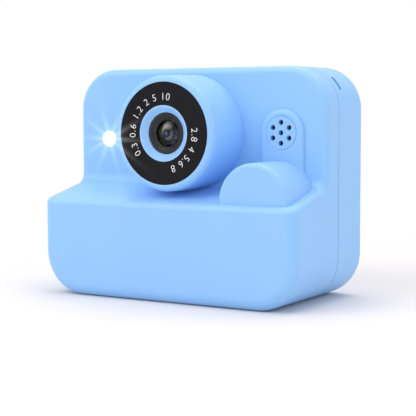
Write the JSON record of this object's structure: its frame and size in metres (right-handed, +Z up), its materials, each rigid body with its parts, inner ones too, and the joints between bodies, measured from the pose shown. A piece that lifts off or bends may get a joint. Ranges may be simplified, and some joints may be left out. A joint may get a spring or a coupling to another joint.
{
  "type": "kids instant-print digital camera",
  "caption": "Chunky rounded toy camera with a deep paper block, sloping ledge, round lens barrel, speaker grille, rear screen and keys, and a small thermal printer inside.",
  "frame": {"origin": "middle of the case on the table", "axes": "+X to the right seen from the front, +Y towards the back (the lens looks along -Y), +Z up"},
  "size_m": [0.119, 0.0626, 0.094],
  "materials": {
    "body_blue": "soft-touch matt paint over ABS",
    "bezel_black": "gloss",
    "lens_black": "satin",
    "glass_clear": "polished",
    "screen_black": "gloss",
    "key_white": "satin",
    "board_green": "solder mask",
    "part_black": "moulded",
    "steel": "stamped",
    "zinc_screw": "zinc plated",
    "rubber_black": "ground",
    "nylon_white": "moulded",
    "thermal_paper": "coated",
    "cell_silver": "foil pouch",
    "flap_blue": "soft"
  },
  "bodies": {
    "case": {"front_shell": "body_blue", "rear_shell": "body_blue", "speaker_pad": "body_blue", "speaker_grille": "body_blue", "pod_cover": "body_blue", "lens_barrel": "body_blue", "lens_bezel": "bezel_black", "lens_housing": "lens_black", "lens_retainer": "lens_black", "front_lens": "glass_clear", "aperture_ring": "lens_black", "rear_lens": "glass_clear", "sensor_holder": "part_black", "sensor_board": "board_green", "flash_lens": "glass_clear", "flash_board": "board_green", "speaker": "part_black", "main_pcb": "board_green", "lcd_module": "screen_black", "screen_window": "screen_black", "key_board": "board_green", "tact_switches": "part_black", "switch_boards": "board_green", "battery_pack": "cell_silver", "printer_frame": "steel", "print_head": "cell_silver", "idler_pin": "steel", "drive_motor": "steel", "tear_bar": "steel", "paper_web": "thermal_paper", "paper_bin": "part_black", "door_pin": "steel", "usb_port": "steel", "card_slot": "steel", "lanyard_pin": "steel", "case_screws": "zinc_screw", "barrel_screws": "zinc_screw", "board_screws": "zinc_screw", "block_screws": "zinc_screw"},
    "shutter": {"shutter_button": "key_white"},
    "power": {"power_button": "key_white"},
    "platen": {"platen_roller": "rubber_black", "platen_shaft": "steel", "platen_gear": "nylon_white"},
    "idler": {"idler_gear": "nylon_white"},
    "pinion": {"motor_pinion": "nylon_white"},
    "roll": {"paper_roll": "thermal_paper", "roll_spindle": "nylon_white"},
    "door": {"paper_door": "body_blue"},
    "latch": {"door_latch": "body_blue"},
    "flap": {"port_cover": "flap_blue"},
    "key_ok": {"key_ok": "key_white"},
    "key_up": {"key_up": "key_white"},
    "key_down": {"key_down": "key_white"},
    "key_left": {"key_left": "key_white"},
    "key_right": {"key_right": "key_white"},
    "key_menu": {"key_menu": "key_white"},
    "key_print": {"key_print": "key_white"}
  },
  "joints": [
    {"name": "shutter_press", "type": "slide", "parent": "case", "child": "shutter", "axis": [0, 0, -1], "range_m": [0, 0.0008], "stiffness_N_per_m": 1800},
    {"name": "power_press", "type": "slide", "parent": "case", "child": "power", "axis": [0, 0, -1], "range_m": [0, 0.0008], "stiffness_N_per_m": 1800},
    {"name": "key_ok_press", "type": "slide", "parent": "case", "child": "key_ok", "axis": [0, -1, 0], "range_m": [0, 0.0006], "stiffness_N_per_m": 2000},
    {"name": "key_up_press", "type": "slide", "parent": "case", "child": "key_up", "axis": [0, -1, 0], "range_m": [0, 0.0006], "stiffness_N_per_m": 2000},
    {"name": "key_down_press", "type": "slide", "parent": "case", "child": "key_down", "axis": [0, -1, 0], "range_m": [0, 0.0006], "stiffness_N_per_m": 2000},
    {"name": "key_left_press", "type": "slide", "parent": "case", "child": "key_left", "axis": [0, -1, 0], "range_m": [0, 0.0006], "stiffness_N_per_m": 2000},
    {"name": "key_right_press", "type": "slide", "parent": "case", "child": "key_right", "axis": [0, -1, 0], "range_m": [0, 0.0006], "stiffness_N_per_m": 2000},
    {"name": "key_menu_press", "type": "slide", "parent": "case", "child": "key_menu", "axis": [0, -1, 0], "range_m": [0, 0.0006], "stiffness_N_per_m": 2000},
    {"name": "key_print_press", "type": "slide", "parent": "case", "child": "key_print", "axis": [0, -1, 0], "range_m": [0, 0.0006], "stiffness_N_per_m": 2000},
    {"name": "paper_roll_spin", "type": "hinge", "parent": "case", "child": "roll", "pos_m": [0, -0.0134, 0.0185], "axis": [1, 0, 0], "continuous": true},
    {"name": "platen_spin", "type": "hinge", "parent": "case", "child": "platen", "pos_m": [0, 0.0076, 0.082], "axis": [1, 0, 0], "continuous": true},
    {"name": "idler_spin", "type": "hinge", "parent": "case", "child": "idler", "pos_m": [0, 0.0091, 0.07252], "axis": [1, 0, 0], "continuous": true},
    {"name": "pinion_spin", "type": "hinge", "parent": "case", "child": "pinion", "pos_m": [0, 0.0091, 0.06172], "axis": [1, 0, 0], "continuous": true},
    {"name": "door_hinge", "type": "hinge", "parent": "case", "child": "door", "pos_m": [0, -0.0003, 0.0014], "axis": [1, 0, 0], "range_deg": [0, 100]},
    {"name": "latch_slide", "type": "slide", "parent": "door", "child": "latch", "axis": [0, 1, 0], "range_m": [0, 0.0025], "stiffness_N_per_m": 300},
    {"name": "port_cover_hinge", "type": "hinge", "parent": "case", "child": "flap", "pos_m": [-0.05875, 0.0165, 0.0475], "axis": [0, 0, 1], "range_deg": [0, 110]}
  ],
  "couplings": [
    {"joint": "platen_spin", "follows": "paper_roll_spin", "ratio": 2.8409},
    {"joint": "idler_spin", "follows": "paper_roll_spin", "ratio": -4.7348},
    {"joint": "pinion_spin", "follows": "paper_roll_spin", "ratio": 12.311}
  ]
}
